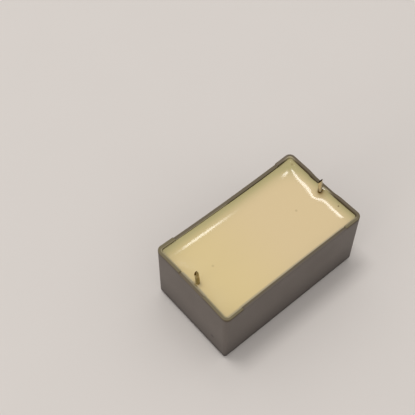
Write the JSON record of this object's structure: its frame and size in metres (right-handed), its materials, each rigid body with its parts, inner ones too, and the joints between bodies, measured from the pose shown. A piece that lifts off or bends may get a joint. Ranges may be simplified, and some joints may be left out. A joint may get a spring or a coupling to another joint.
{
  "type": "box film capacitor",
  "caption": "Low-profile rectangular film capacitor: grey moulded box potted in cream resin, with corner stand-offs and round clipped leads rising from the potted side.",
  "frame": {"origin": "centre of the closed face, which is the lowest point of the part as it lies with its leads up", "axes": "+X along the long side and the lead pitch, +Y across the width, +Z out of the potted side along the leads"},
  "size_m": [0.0414, 0.024, 0.0222],
  "materials": {
    "case_plastic": "satin moulded grey plastic",
    "film": "clear film wound many turns deep",
    "sprayed_metal": "rough sprayed zinc",
    "tinned_wire": "dull tinned copper",
    "potting_resin": "glossy cast cream resin"
  },
  "bodies": {
    "root": {"case": "case_plastic", "winding": "film", "end_spray_left": "sprayed_metal", "end_spray_right": "sprayed_metal", "lead_left": "tinned_wire", "lead_right": "tinned_wire", "resin_fill": "potting_resin"}
  },
  "joints": []
}
